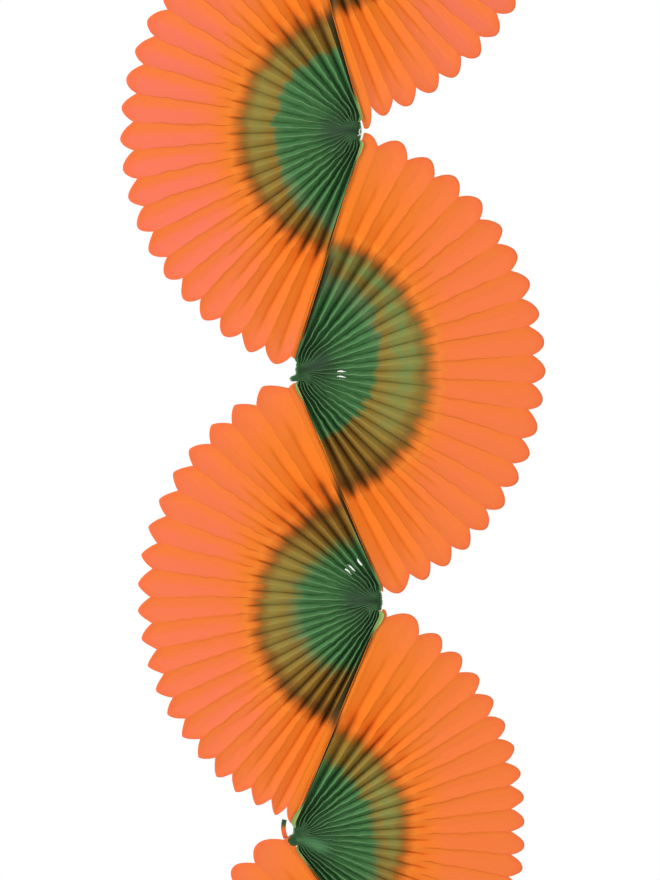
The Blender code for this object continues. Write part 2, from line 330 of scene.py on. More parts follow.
# Room: the camera's aim in the garland's plane as (x, z), its distance and the height that it sees, the floor
# under the garland and the lights with their place, size and power
VIEW_MIDDLE = (-0.0242, -0.4837)
VIEW_DISTANCE = 3.0
VIEW_HEIGHT = 0.528
FLOOR_DROP = 0.12
FLOOR_HALF = 4.0
FLOOR_GREY = (0.86, 0.86, 0.85, 1.0)
AMBIENT = 0.585
LIGHTS = (
    ("key light", (-2.2, -1.6, 0.3), 1.6, 36.0),
    ("fill light", (1.5, -2.6, -0.3), 2.0, 14.0),
    ("back light", (1.2, 2.8, 0.1), 2.0, 24.0),
)


def srgb(red, green, blue):
    """A colour given as eight-bit sRGB, as the linear numbers that a shader takes."""
    parts = [c / 255 for c in (red, green, blue)]
    return tuple(c / 12.92 if c <= 0.04045 else ((c + 0.055) / 1.055) ** 2.4 for c in parts)


# Tissue outside the ring, from the petals' edges inwards
CORAL = srgb(247, 121, 68)
PINK_CORAL = srgb(246, 118, 94)
EDGE_ORANGE = srgb(247, 112, 58)
ORANGE = srgb(246, 128, 38)
YELLOW_ORANGE = srgb(240, 150, 52)
# Deeper orange for the painted shade in the valleys and before the notch lines
SHADE_ORANGE = srgb(228, 112, 12)
YELLOWED_ORANGE = srgb(246, 126, 18)
CREASE_BROWN = srgb(184, 76, 6)
# The ring
TAN = srgb(176, 136, 46)
OLIVE = srgb(130, 126, 50)
PALE_OLIVE = srgb(160, 156, 78)
BROWN = srgb(154, 96, 24)
DARK_BROWN = srgb(84, 56, 22)
ECHO_GREEN = srgb(112, 148, 84)
# The green core
LIT_GREEN = srgb(89, 147, 87)
GREEN = srgb(61, 108, 60)
DARK_GREEN = srgb(38, 68, 42)
DOME_SHADE_GREEN = srgb(54, 79, 56)
GREY_OLIVE = srgb(124, 142, 98)
SEAM_SHADE = srgb(38, 44, 24)
PALE_HIGHLIGHT_GREEN = srgb(152, 190, 138)
YELLOW_GREEN = srgb(164, 190, 108)
DOME_LIT = srgb(84, 136, 88)
# Threads and cards
THREAD_WHITE = srgb(232, 230, 220)
THREAD_GREY = srgb(180, 178, 166)
CARD_BUFF = srgb(206, 180, 140)
CARD_FLECK = srgb(150, 118, 78)


# Node trees

def plug(value, slot):
    """Put a plain value, a Number or a socket into an input."""
    if isinstance(value, Number):
        value = value.socket
    if isinstance(value, bpy.types.NodeSocket):
        slot.id_data.links.new(value, slot)
    else:
        slot.default_value = value


def new_node(tree, kind, inputs, **settings):
    """A node with its settings and with what goes into its inputs, by their names or places."""
    node = tree.nodes.new(kind)
    for name, value in settings.items():
        setattr(node, name, value)
    for key, value in inputs.items():
        plug(value, node.inputs[key])
    return node


def math_node(operation):
    """A method of Number that adds one Math node."""
    def method(self, *others):
        inputs = dict(enumerate((self, *others)))
        return Number(new_node(self.tree, "ShaderNodeMath", inputs, operation=operation).outputs[0])
    return method


class Number:
    """A number in a node tree. Arithmetic on it adds Math nodes, so that a formula reads as one."""

    def __init__(self, socket):
        self.socket = socket
        self.tree = socket.id_data

    __add__ = __radd__ = math_node("ADD")
    __mul__ = __rmul__ = math_node("MULTIPLY")
    __sub__ = math_node("SUBTRACT")
    __truediv__ = math_node("DIVIDE")
    __pow__ = math_node("POWER")
    __gt__ = math_node("GREATER_THAN")
    __lt__ = math_node("LESS_THAN")
    floor = math_node("FLOOR")
    fract = math_node("FRACT")
    size = math_node("ABSOLUTE")
    sine = math_node("SINE")
    cosine = math_node("COSINE")
    root = math_node("SQRT")
    at_least = math_node("MAXIMUM")
    at_most = math_node("MINIMUM")

    def __rsub__(self, other):
        return (self * -1.0) + other

    def __rtruediv__(self, other):
        return (self**-1.0) * other

    def rise(self, low, high):
        """0 up to low, 1 from high, and a smooth step between them."""
        inputs = {"Value": self, "From Min": low, "From Max": high}
        node = new_node(self.tree, "ShaderNodeMapRange", inputs, interpolation_type="SMOOTHSTEP")
        return Number(node.outputs["Result"])

    def fall(self, low, high):
        """1 up to low, 0 from high, and a smooth step between them."""
        return 1.0 - self.rise(low, high)

    def between(self, low, full, falling, high):
        """1 from full to falling, 0 up to low and from high, and smooth steps between them."""
        return self.rise(low, full) * self.fall(falling, high)

    def hump(self, middle, width):
        """1 at the middle, falling to nothing about two widths away."""
        away = (self - middle) / width
        return (away * away + 1.0) ** -3.0

    def toward_from(self, none, full):
        """A plain value at 0 and another at 1."""
        return self * (full - none) + none

    def toward(self, other, share):
        """This number, moved to the other by a share."""
        return self + (other - self) * share


def joined(x, y, z):
    """Three numbers as one vector."""
    return new_node(x.tree, "ShaderNodeCombineXYZ", {"X": x, "Y": y, "Z": z}).outputs[0]


def parts(vector):
    """A vector as its three numbers."""
    node = new_node(vector.id_data, "ShaderNodeSeparateXYZ", {0: vector})
    return [Number(out) for out in node.outputs]


def noise(where, scale=1.0, detail=2.0):
    """Smooth noise about 0, from about -0.5 to 0.5."""
    inputs = {"Vector": where, "Scale": scale, "Detail": detail}
    return Number(new_node(where.id_data, "ShaderNodeTexNoise", inputs).outputs[0]) - 0.5


# Fans

class Fan:
    """One fan as the frame gives it: its hub, its turning sense and the angles of its folds."""

    def __init__(self, number, points):
        joint = next(j for j in frame["joints"] if j["name"] == f"fan_{number}_fold")
        self.number = number
        self.hub = points[number]
        self.turn = 1.0 if joint["axis"][1] > 0 else -1.0
        self.first_leaf = math.radians(CARD_LEAF_ANGLE if number == 1 else FIRST_LEAF_ANGLE)
        at_bottom = number == len(points) - 2
        self.last_leaf = math.radians(CARD_LEAF_ANGLE if at_bottom else LAST_LEAF_ANGLE)
        self.start = self.seam_angle(points[number - 1], -1, number == 1)
        end = self.seam_angle(points[number + 1], 1, at_bottom)
        self.opening = (self.turn * (end - self.start)) % (2 * math.pi)
        self.pitch = (self.opening - self.first_leaf - self.last_leaf) / PETALS

    def seam_angle(self, other, end, has_card):
        """The direction of the seam, which touches the stacks of both hubs, or lies on a card."""
        way = other - self.hub
        aside = CARD_ASIDE if has_card else 2 * STACK_HALF
        return math.atan2(way.y, way.x) - math.asin(end * self.turn * aside / way.length)

    def direction(self, petal):
        """The angle in the garland's plane of a place counted in petals from the first notch."""
        inside = min(max(petal, 0.0), PETALS)
        turned = self.pitch * (inside + PITCH_TAPER * (inside / 2 - inside**2 / (2 * PETALS)))
        turned += self.first_leaf * min(petal + 1.0, 1.0) + self.last_leaf * max(petal - PETALS, 0.0)
        return self.start + self.turn * turned

    def middle_axes(self):
        """Along the fan's middle line and across it, in the garland's plane."""
        middle = self.start + self.turn * self.opening / 2
        return direction(middle), direction(middle + math.pi / 2)


def direction(angle):
    return Vector((math.cos(angle), math.sin(angle)))


def garland_points():
    """The top hole, the hubs and the bottom hole, as (x, z)."""
    places = [joint["pos_m"] for joint in frame["joints"] if joint["name"].endswith("_fold")]
    hubs = [Vector((place[0], place[2])) for place in places]
    return [opening_middle("top_hanging_hole"), *hubs, opening_middle("bottom_hanging_hole")]


def opening_middle(name):
    """The middle of one of the record's openings, as (x, z)."""
    opening = next(o for o in frame["record"]["physics"]["openings"] if o["name"] == name)
    low, high = opening["box_m"]
    return Vector(((low[0] + high[0]) / 2, (low[2] + high[2]) / 2))


# Pleated tissue

# The pleat tree's inputs that are plain numbers, in the order in which pleated_sheet fills them
NUMBER_INPUTS = (
    "Turn", "Start", "Opening", "First leaf", "Last leaf", "Pitch", "First petal",
    "Reach at top", "Reach in middle", "Reach at bottom",
    "First leaf seen", "First leaf end", "Last leaf seen", "Last leaf end", "First strip", "Last strip",
    "Ring before", "Ring after", "Green before", "Green after",
    "Brown before", "Brown after", "Echo before", "Echo after",
    "Pink", "Dome petal", "Dome light", "Pointed", "Creases", "Core softness", *SLIT_INPUTS, "Seed",
)


class PleatTree:
    """Geometry Nodes that pleat a sheet of tissue between two notches of a fan."""

    def __init__(self):
        tree = bpy.data.node_groups.new("pleated tissue", "GeometryNodeTree")
        self.tree = tree
        self.sockets = {}
        for name in NUMBER_INPUTS:
            self.add_input(name, "NodeSocketFloat")
        self.add_input("Petals", "NodeSocketInt")
        self.add_input("Hub", "NodeSocketVector")
        self.add_input("Tissue", "NodeSocketMaterial")
        tree.interface.new_socket("Geometry", in_out="OUTPUT", socket_type="NodeSocketGeometry")
        self.group_in = tree.nodes.new("NodeGroupInput")
        self.build()

    def add_input(self, name, kind):
        socket = self.tree.interface.new_socket(name, in_out="INPUT", socket_type=kind)
        self.sockets[name] = socket.identifier

    def given(self, name):
        return Number(self.group_in.outputs[name])

    def build(self):
        tree = self.tree
        petals = self.given("Petals")
        grid = {"Size X": 1.0, "Size Y": 1.0, "Vertices X": petals * PETAL_STEPS + 1.0, "Vertices Y": ROWS}
        geometry = new_node(tree, "GeometryNodeMeshGrid", grid).outputs["Mesh"]
        across, up, _ = parts(tree.nodes.new("GeometryNodeInputPosition").outputs[0])
        petal = self.petal_place(across, petals)
        radius = self.radius_place(petal, up)
        for name, value in self.attributes(petal, radius).items():
            geometry = self.step(geometry, "StoreNamedAttribute", {"Name": name, "Value": value})
        geometry = self.cut_slits(geometry, petal, radius)
        geometry = self.step(geometry, "SetPosition", {"Position": self.position(petal, radius)})
        geometry = self.step(geometry, "FlipFaces", {"Selection": self.given("Turn") > 0.0})
        geometry = self.step(geometry, "SetShadeSmooth", {})
        geometry = self.step(geometry, "RealizeInstances", {})
        geometry = self.step(geometry, "SetMaterial", {"Material": self.group_in.outputs["Tissue"]})
        new_node(tree, "NodeGroupOutput", {0: geometry})

    def step(self, geometry, kind, inputs, **settings):
        """One more node on the geometry's way, with what it takes besides."""
        return new_node(self.tree, "GeometryNode" + kind, {0: geometry, **inputs}, **settings).outputs[0]

    def petal_place(self, across, petals):
        """Petals from the first notch, with the grid's lines drawn together at the folds."""
        even = (across + 0.5) * petals
        folds_a_turn = 4 * math.pi
        drawn = even - (even * folds_a_turn).sine() * (DRAWN_TO_FOLDS / folds_a_turn)
        return drawn + self.given("First petal")

    def reach(self, petal):
        """Distance from the hub to the leaf's rounded edge."""
        along = (petal / PETALS).at_least(0.0).at_most(1.0)
        top, middle, bottom = (self.given(f"Reach {place}") for place in ("at top", "in middle", "at bottom"))
        share = top.toward(middle, (along * 2.0).at_most(1.0))
        share = share + (bottom - middle) * (along * 2.0 - 1.0).at_least(0.0)
        seed, pointed = self.given("Seed"), self.given("Pointed")
        tip = noise(joined(petal.floor() * 3.7, seed, 0.5)) * TIP_WANDER + TIP_PLACE
        before = ((tip - petal.fract()) / tip).at_least(0.0) ** (BEFORE_TIP - pointed * POINTED_BEFORE)
        after = (petal.fract() - tip) / (1.0 - tip)
        after = after.at_least(0.0) ** (AFTER_TIP - pointed * POINTED_AFTER)
        uneven = noise(joined(petal * 0.45, seed, 2.5)) * REACH_WANDER
        petals = share * LEAF_LENGTH - before.at_least(after) * NOTCH_DEPTH + uneven
        from_seam, to_seam = leaf_shares(petal)
        first = self.leaf_reach(top, "First leaf end", 1.0 - from_seam)
        last = self.leaf_reach(bottom, "Last leaf end", to_seam)
        is_first, is_last = petal < 0.0, petal > float(PETALS)
        return petals.toward(first, is_first).toward(last, is_last)

    def leaf_reach(self, share, end, to_seam):
        """Distance from the hub to the edge of a seam leaf, which rises from the notch to its rounded end."""
        notch = share * LEAF_LENGTH - NOTCH_DEPTH
        bulge = 1.0 - (1.0 - to_seam / (1 - GLUED_SHARE)) ** 2.0
        return notch.toward(self.given(end), bulge)

    def radius_place(self, petal, up):
        share = up + 0.5
        return (self.reach(petal) - HUB_START) * share + HUB_START

    def attributes(self, petal, radius):
        """What the dye and the painted light and shade follow on the sheet."""
        along = ((petal - self.given("First petal")) / self.given("Petals")).at_least(0.0).at_most(1.0)
        ring, green, brown, echo = (
            self.given(f"{dye} before").toward(self.given(f"{dye} after"), along)
            for dye in ("Ring", "Green", "Brown", "Echo")
        )
        return {
            "petal": petal,
            "radius": radius * 1000.0,
            "to_edge": (self.reach(petal) - radius) * 1000.0,
            "lit_side": self.lit_side(petal),
            "green_edge": green * 1000.0,
            "ring_edge": ring * 1000.0,
            "brown": brown,
            "echo": echo,
            "dome": self.dome(petal),
            "dome_light": self.given("Dome light"),
            "strip": self.strip(petal) * 1000.0,
            "pink": self.given("Pink"),
            "creases": self.given("Creases"),
            "core_soft": self.given("Core softness"),
            "sheet_seed": self.given("Seed"),
        }

    def strip(self, petal):
        """How far the inner end of a seam leaf stands out beside the hub."""
        first = (petal < 0.0) * self.given("First strip")
        return first + (petal > float(PETALS)) * self.given("Last strip")

    def dome(self, petal):
        """How smoothly the tissue is pressed beside the hub, 1 at the fan's dome petal."""
        return (petal - self.given("Dome petal")).hump(0.0, DOME_WIDTH)

    def lit_side(self, petal):
        """1 where the panel after a valley faces the garland's left, and -1 where the one before it does."""
        angle = self.fold_angle(petal)
        return self.given("Turn") * -1.0 * (angle.sine() * 0.92 + angle.cosine() * 0.38)

    def turned(self, petal):
        """Angle from the first leaf's edge, with the narrow glued panels at both ends."""
        first, last = self.given("First leaf"), self.given("Last leaf")
        first_seen, last_seen = self.given("First leaf seen"), self.given("Last leaf seen")
        from_seam, to_seam = leaf_shares(petal)
        inside = petal.at_least(0.0).at_most(PETALS)
        tapered = inside + (inside * 0.5 - inside * inside / (2 * PETALS)) * PITCH_TAPER
        near_first = (1.0 - inside / SHIFTED_PETALS).at_least(0.0) ** 2.0
        near_last = (1.0 - (PETALS - inside) / SHIFTED_PETALS).at_least(0.0) ** 2.0
        shifted = (first - first_seen) * (1.0 - near_first) + (last - last_seen) * near_last
        return first_seen * from_seam + shifted + tapered * self.given("Pitch") + last_seen * to_seam

    def fold_angle(self, petal):
        return self.given("Start") + self.given("Turn") * self.turned(petal)

    def bend(self, petal, radius):
        """Small wander of the folds, which dies out at the two seams."""
        free = petal.between(0.0, 1.5, PETALS - 1.5, PETALS)
        slow = self.pattern(petal * 1.3, radius * 14.0, 0.0, 1.0) * FOLD_WANDER
        fine = self.pattern(petal * 0.8, radius * 115.0, 4.0, 2.0)
        near_crease = (0.5 - (petal.fract() - 0.5).size()).hump(0.0, 0.16) * radius.rise(0.070, 0.090)
        ripple = self.pattern(petal * 0.9, radius * 170.0, 9.0, 2.0)
        near_hub = radius.between(0.006, 0.014, 0.034, 0.052)
        aside = fine * near_crease * CREASE_WANDER + ripple * near_hub * RIPPLE
        return free * (slow + aside / radius.at_least(0.010))

    def pattern(self, along, outward, shift, detail):
        """Noise over the sheet, unlike from fan to fan."""
        return noise(joined(along, outward, self.given("Seed") + shift), 1.0, detail)

    def position(self, petal, radius):
        """Place of the sheet: bunched at the hub, and freed from there on to each leaf's own direction."""
        turn = self.given("Turn")
        angle = self.fold_angle(petal) + self.bend(petal, radius)
        opening = self.given("Opening")
        middle = self.given("Start") + turn * opening * 0.5
        aside = (self.turned(petal) / opening) - 0.5
        free_from = (1.0 - aside * aside * 4.0) * FREE_LATER_IN_MIDDLE + FREE_AT_SEAMS
        freed = radius.rise(BUNCHED_TO, free_from)
        bundled = turn * aside * (2 * BUNDLE_HALF)
        ahead = radius * BUNCHED_SHARE - BEHIND_PIVOT
        x_stack = middle.cosine() * ahead - middle.sine() * bundled
        z_stack = middle.sine() * ahead + middle.cosine() * bundled
        strip = (petal - PETALS).at_least(0.0) * self.given("Last strip")
        strip = strip + petal.at_most(0.0) * self.given("First strip")
        beside_hub = radius.between(0.002, 0.005, 0.010, 0.019)
        stacked = turn * (petal / PETALS * (2 * STACK_HALF) - STACK_HALF + strip * beside_hub)
        x_free = angle.cosine() * radius - angle.sine() * stacked
        z_free = angle.sine() * radius + angle.cosine() * stacked
        x = x_stack.toward(x_free, freed)
        z = z_stack.toward(z_free, freed)
        hub_x, _, hub_z = parts(self.group_in.outputs["Hub"])
        return joined(x + hub_x, self.height(petal, radius), z + hub_z)

    def half_pitch(self, petal):
        """Angle from one fold to the next among the petals."""
        inside = petal.at_least(0.0).at_most(PETALS)
        return self.given("Pitch") * 0.5 * ((0.5 - inside / PETALS) * PITCH_TAPER + 1.0)

    def height(self, petal, radius):
        """y of the sheet: ridges in front at the notch lines, valleys behind at the tip lines."""
        from_valley = (petal.fract() * 2.0 - 1.0).size()
        end_leaf = (petal < 0.0) + (petal > float(PETALS))
        at_bottom = (petal - PETALS) * DEEP_MORE_A_PETAL + DEEP_AT_BOTTOM
        deep_until = (DEEP_AT_TOP - petal * DEEP_LESS_A_PETAL).at_least(at_bottom).at_least(FLAT_FROM)
        spread = radius * self.half_pitch(petal)
        deep = (PANEL_WIDTH**2 - spread * spread).at_least(SHALLOW_DEPTH**2).root()
        in_middle = ((petal - PETALS / 2) / (PETALS / 2)).size().fall(0.35, 0.95)
        deep = deep * in_middle.toward_from(END_DEPTH, MIDDLE_DEPTH)
        deep = deep * radius.rise(0.0, 0.045).toward_from(0.35, 1.0)
        deep_leaf = radius.between(0.016, 0.026, 0.050, 0.085)
        leaf = deep_leaf.toward_from(LEAF_DEPTH_OUTSIDE, LEAF_DEPTH)
        deep = deep * radius.rise(0.074, 0.090).toward_from(1.0, 0.5)
        deep = deep.toward(leaf, end_leaf)
        shallow = radius.rise(deep_until - 0.004, deep_until + 0.012) * (1.0 - end_leaf)
        dome = self.dome(petal)
        pressed = radius.fall(dome.toward_from(0.002, 0.014), dome.toward_from(0.011, 0.028))
        depth = deep.toward(SHALLOW_DEPTH, shallow).toward(PRESSED_DEPTH, pressed)
        near_hub = radius.fall(0.020, 0.045)
        sharpness = (1.0 - in_middle * 0.35).toward(1.9, shallow).toward(1.9, near_hub)
        profile = 1.0 - from_valley**sharpness
        wrinkle = self.pattern(petal * 5.0, radius * 55.0, 0.0, 3.0)
        crumple = wrinkle * (1.0 - from_valley) * radius.rise(0.03, 0.06) * WRINKLE_DEPTH
        groove_at = GROOVE_WIDTH / spread.at_least(0.002)
        groove = petal.fract().hump(groove_at, groove_at / 1.4)
        ragged = radius.between(FLAT_FROM, FLAT_FROM + 0.010, 0.122, 0.136)
        raised = pressed * 0.0006 + radius.hump(0.010, 0.010) * dome * 0.0012 + end_leaf * near_hub * 0.0009
        return depth * profile + crumple + groove * ragged * CREASE_GROOVE - RIDGE_HEIGHT - raised

    def cut_slits(self, geometry, petal, radius):
        """Leave out the faces of narrow openings between two sheets."""
        spread = radius * self.half_pitch(petal) * 2.0
        inside = None
        for name in SLIT_INPUTS:
            aside = (petal - self.given(name)) * spread / SLIT_HALF_WIDTH
            along = (radius - SLIT_RADIUS) / SLIT_HALF_LENGTH
            hole = (aside * aside + along * along) < 1.0
            inside = hole if inside is None else inside.at_least(hole)
        return self.step(geometry, "DeleteGeometry", {"Selection": inside > 0.5}, domain="FACE")


def leaf_shares(petal):
    """Share of a leaf's width from the seam on the first leaf, and from the notch on the last one."""
    before, after = petal.at_most(0.0), (petal - PETALS).at_least(0.0)
    glued = (before + 1.0) * (2 * GLUED_SHARE)
    free = (before + 0.5) * (2 * (1 - GLUED_SHARE)) + GLUED_SHARE
    glued_end = (after - 1.0) * (2 * GLUED_SHARE) + 1.0
    free_end = after * (2 * (1 - GLUED_SHARE))
    return glued.at_least(free), glued_end.at_most(free_end)


def baked(name, holder):
    """The evaluated object as a plain mesh object under its final name."""
    bpy.context.view_layer.update()
    evaluated = holder.evaluated_get(bpy.context.evaluated_depsgraph_get())
    mesh = bpy.data.meshes.new_from_object(evaluated)
    bpy.data.objects.remove(holder)
    mesh.name = name
    return linked(name, mesh)


def linked(name, data):
    piece = bpy.data.objects.new(name, data)
    bpy.context.scene.collection.objects.link(piece)
    return piece


def pleated_sheet(name, pleats, tissue, fan, first_petal, petals, section):
    """A length of pleated tissue of one fan, from a notch, a whole number of petals wide."""
    dye = DYE[fan.number]
    (first_seen, first_end), (last_seen, last_end) = SEAM_LEAVES[fan.number]
    along = (section, section + 1)
    if petals == 1:
        along = (0, 0) if section == 0 else (SECTIONS, SECTIONS)
    changes = [dye[kind][place] for kind in ("ring", "green", "brown", "echo") for place in along]
    slits = [p for p in SLITS.get(fan.number, ()) if first_petal <= p < first_petal + petals]
    slits += [NO_SLIT] * (len(SLIT_INPUTS) - len(slits))
    numbers = (
        fan.turn, fan.start, fan.opening, fan.first_leaf, fan.last_leaf, fan.pitch, first_petal,
        *REACH[fan.number],
        math.radians(first_seen), first_end, math.radians(last_seen), last_end, *STRIPS[fan.number],
        *changes,
        dye["pink"], DOME_PETAL[fan.number], DOME_LIGHT.get(fan.number, 0.0),
        POINTED.get(fan.number, 0.0), CREASES[fan.number], CORE_SOFTNESS[fan.number],
        *slits, SEED_STEP * fan.number,
    )
    holder = linked(name + "_holder", bpy.data.meshes.new(name + "_holder"))
    pleat = holder.modifiers.new("pleats", "NODES")
    pleat.node_group = pleats.tree
    for label, value in zip(NUMBER_INPUTS, numbers):
        pleat[pleats.sockets[label]] = float(value)
    pleat[pleats.sockets["Petals"]] = petals
    pleat[pleats.sockets["Hub"]] = (fan.hub.x, 0.0, fan.hub.y)
    pleat[pleats.sockets["Tissue"]] = tissue
    wall = holder.modifiers.new("paper", "SOLIDIFY")
    wall.thickness = PAPER
    wall.offset = 0.0
    wall.use_even_offset = False
    return baked(name, holder)


# Materials

def new_material(name, roughness):
    """A matte material and its shader."""
    material = bpy.data.materials.new(name)
    material.use_nodes = True
    shader = material.node_tree.nodes["Principled BSDF"]
    shader.inputs["Roughness"].default_value = roughness
    shader.inputs["Specular IOR Level"].default_value = DULL_SHINE
    return material, shader


def finish_shader(shader, base, height, strength, distance):
    """Give a shader its colour and its fine relief."""
    inputs = {"Strength": strength, "Distance": distance, "Height": height}
    bump = new_node(shader.id_data, "ShaderNodeBump", inputs)
    plug(base, shader.inputs["Base Color"])
    plug(bump.outputs[0], shader.inputs["Normal"])


def attribute(tree, name):
    return Number(new_node(tree, "ShaderNodeAttribute", {}, attribute_name=name).outputs["Fac"])


def object_place(shader):
    return shader.id_data.nodes.new("ShaderNodeTexCoord").outputs["Object"]


def mixed(base, colour, share):
    """One colour over another by a share. Either may be a plain colour or a socket."""
    node = new_node(share.tree, "ShaderNodeMix", {"Factor": share}, data_type="RGBA", clamp_factor=True)
    slots = [slot for slot in node.inputs if slot.type == "RGBA"]
    for slot, value in zip(slots, (base, colour)):
        plug((*value, 1.0) if isinstance(value, tuple) else value, slot)
    return next(slot for slot in node.outputs if slot.type == "RGBA")


def dyed_tissue():
    """Tissue dyed orange outside and green inside, with the brown ring where the two dyes met, and painted
    light, shade and highlights on the pleats.
    """
    material, shader = new_material("dyed tissue paper", 0.82)
    sheet = Sheet(material.node_tree)
    base = green_dye_and_shading(sheet, ring_dye_and_shading(sheet, orange_dye_and_shading(sheet)))
    fibre = noise(object_place(shader), FIBRE_SCALE, 4.0)
    pulls = sheet.pattern(26.0, 0.16, 0.0, 3.0)
    finish_shader(shader, base, fibre * 0.35 + pulls * 0.65, 0.35, 0.0006)
    return material


class Sheet:
    """What the dye's colours and the painted light and shade follow on a pleated sheet. Distances are in
    millimetres, the rest are shares.
    """

    def __init__(self, tree):
        self.tree = tree
        self.petal, self.radius = attribute(tree, "petal"), attribute(tree, "radius")
        self.to_edge = attribute(tree, "to_edge")
        self.seed = attribute(tree, "sheet_seed")
        self.inside = self.petal.fract()
        self.ridge = (self.inside * 2.0 - 1.0).size()
        self.from_notch = (0.5 - (self.inside - 0.5).size()) * self.radius * PETAL_ANGLE
        self.streak = self.pattern(9.0, 0.035, 0.0, 3.0)
        self.cloud = self.pattern(1.6, 0.11, 3.0, 3.0)
        panel = (self.petal * 2.0).floor()
        self.jag = noise(joined(panel * 5.3, 0.5, self.seed + 6.0), 1.0, 1.0)
        # Painted light: above 0 on the panels that face the key light at the garland's left, below 0 on those
        # turned away
        self.side = attribute(tree, "lit_side") * (self.inside * 2.0 - 1.0)
        self.to_ends = (self.petal / PETALS * 2.0 - 1.0).size()
        self.end_leaf = self.to_ends > 1.0001

    def pattern(self, along, outward, shift, detail):
        """Noise with so many changes a petal and a millimetre outwards, unlike from fan to fan."""
        return noise(joined(self.petal * along, self.radius * outward, self.seed + shift), 1.0, detail)


def orange_dye_and_shading(sheet):
    """Orange, blushing to coral on the half of each petal after its tip, with thin brown crease lines,
    painted light on the panels that face the key light and painted shade in the valleys.
    """
    tree, inside, radius, to_ends = sheet.tree, sheet.inside, sheet.radius, sheet.to_ends
    pink = attribute(tree, "pink")
    # The blush is partly the dye's coral and partly painted light on the panels that face the key light
    blush_and_light = inside.rise(0.04, 0.40) * 0.42 + 0.48 + sheet.cloud * 0.5 + sheet.side * 0.15
    blush_and_light = blush_and_light * (1.0 - to_ends.rise(0.5, 1.0) * 0.22) * (1.0 - sheet.end_leaf * 0.6)
    blush_and_light = blush_and_light * radius.rise(to_ends.toward_from(76.0, 87.0), to_ends.toward_from(92.0, 117.0))
    base = mixed(ORANGE, CORAL, blush_and_light * (0.78 + pink * 0.35))
    pinker = radius.rise(80.0, 112.0) * inside.rise(0.3, 0.6) * (1.0 - to_ends.rise(0.3, 0.9) * 0.75)
    base = mixed(base, PINK_CORAL, pinker * pink * (0.9 + sheet.cloud * 0.8))
    yellower = to_ends.rise(0.5, 0.9) * radius.fall(108.0, 144.0)
    base = mixed(base, YELLOWED_ORANGE, yellower * 0.65)
    base = mixed(base, EDGE_ORANGE, sheet.to_edge.fall(1.0, 8.0) * 0.6)
    # Painted shade: the valleys, most beside the seams, and a band just before each notch line turn deeper
    # orange
    groove = (1.0 - sheet.ridge).rise(0.72, 1.0) * valley_shade_reach(sheet.petal, radius)
    base = mixed(base, SHADE_ORANGE, groove * 0.9)
    shaded = (1.0 - inside).hump(0.0, 0.10) * radius.between(80.0, 90.0, 96.0, 126.0)
    base = mixed(base, SHADE_ORANGE, shaded * (0.5 + sheet.cloud))
    drawn = radius.between(75.0, 81.0, 118.0, 136.0) * to_ends.fall(0.90, 0.99)
    drawn = drawn * (1.0 - radius.rise(82.0, 91.0) * (1.0 - attribute(tree, "creases") * 0.5))
    crease = sheet.from_notch.hump(0.0, CREASE_HALF_WIDTH)
    return mixed(base, CREASE_BROWN, crease * drawn * (0.85 + sheet.streak * 1.2))


def ring_dye_and_shading(sheet, base):
    """Over the orange, the fuzzy brown ring, paler and olive inside, with green showing through, less brown
    where painted light falls and darker in the valleys by painted shade.
    """
    tree = sheet.tree
    in_valley = 1.0 - sheet.ridge
    ring_edge = attribute(tree, "ring_edge") + in_valley.hump(1.0, 0.3) * 2.0
    green_edge = attribute(tree, "green_edge")
    bled = sheet.radius + sheet.streak * 6.0 + sheet.cloud * 5.0 + sheet.jag * 7.0
    share = (bled - green_edge) / (ring_edge - green_edge)
    brown = attribute(tree, "brown")
    outer = share.rise(0.55, 1.0)
    ring = mixed(TAN, OLIVE, share.fall(0.0, 0.6) * 0.3 + sheet.cloud * 1.2)
    paler = share.hump(0.42, 0.42) * sheet.to_ends.fall(0.3, 0.8)
    ring = mixed(ring, PALE_OLIVE, paler * (0.45 + sheet.streak * 1.8))
    # Painted light and shade: less brown on the panels that face the key light, more dark brown in the
    # valleys
    ring = mixed(ring, BROWN, brown * 0.6 + outer * 0.6 - sheet.side * 0.25 + sheet.streak * 0.7)
    rim = outer * sheet.to_ends.fall(0.4, 0.9) * 0.22
    ring = mixed(ring, DARK_BROWN, brown * (0.1 + outer * 0.62) + rim + in_valley * 0.18)
    echo = share.hump(0.5, 0.5) * attribute(tree, "echo") * (0.85 + sheet.pattern(0.9, 0.16, 7.0, 2.0) * 2.2)
    ring = mixed(ring, ECHO_GREEN, echo)
    glow = (bled - ring_edge).hump(4.5, 3.0) * (1.0 - sheet.end_leaf)
    base = mixed(base, YELLOW_ORANGE, glow * 0.3)
    return mixed(base, ring, (bled - ring_edge).fall(-7.0, 5.0))


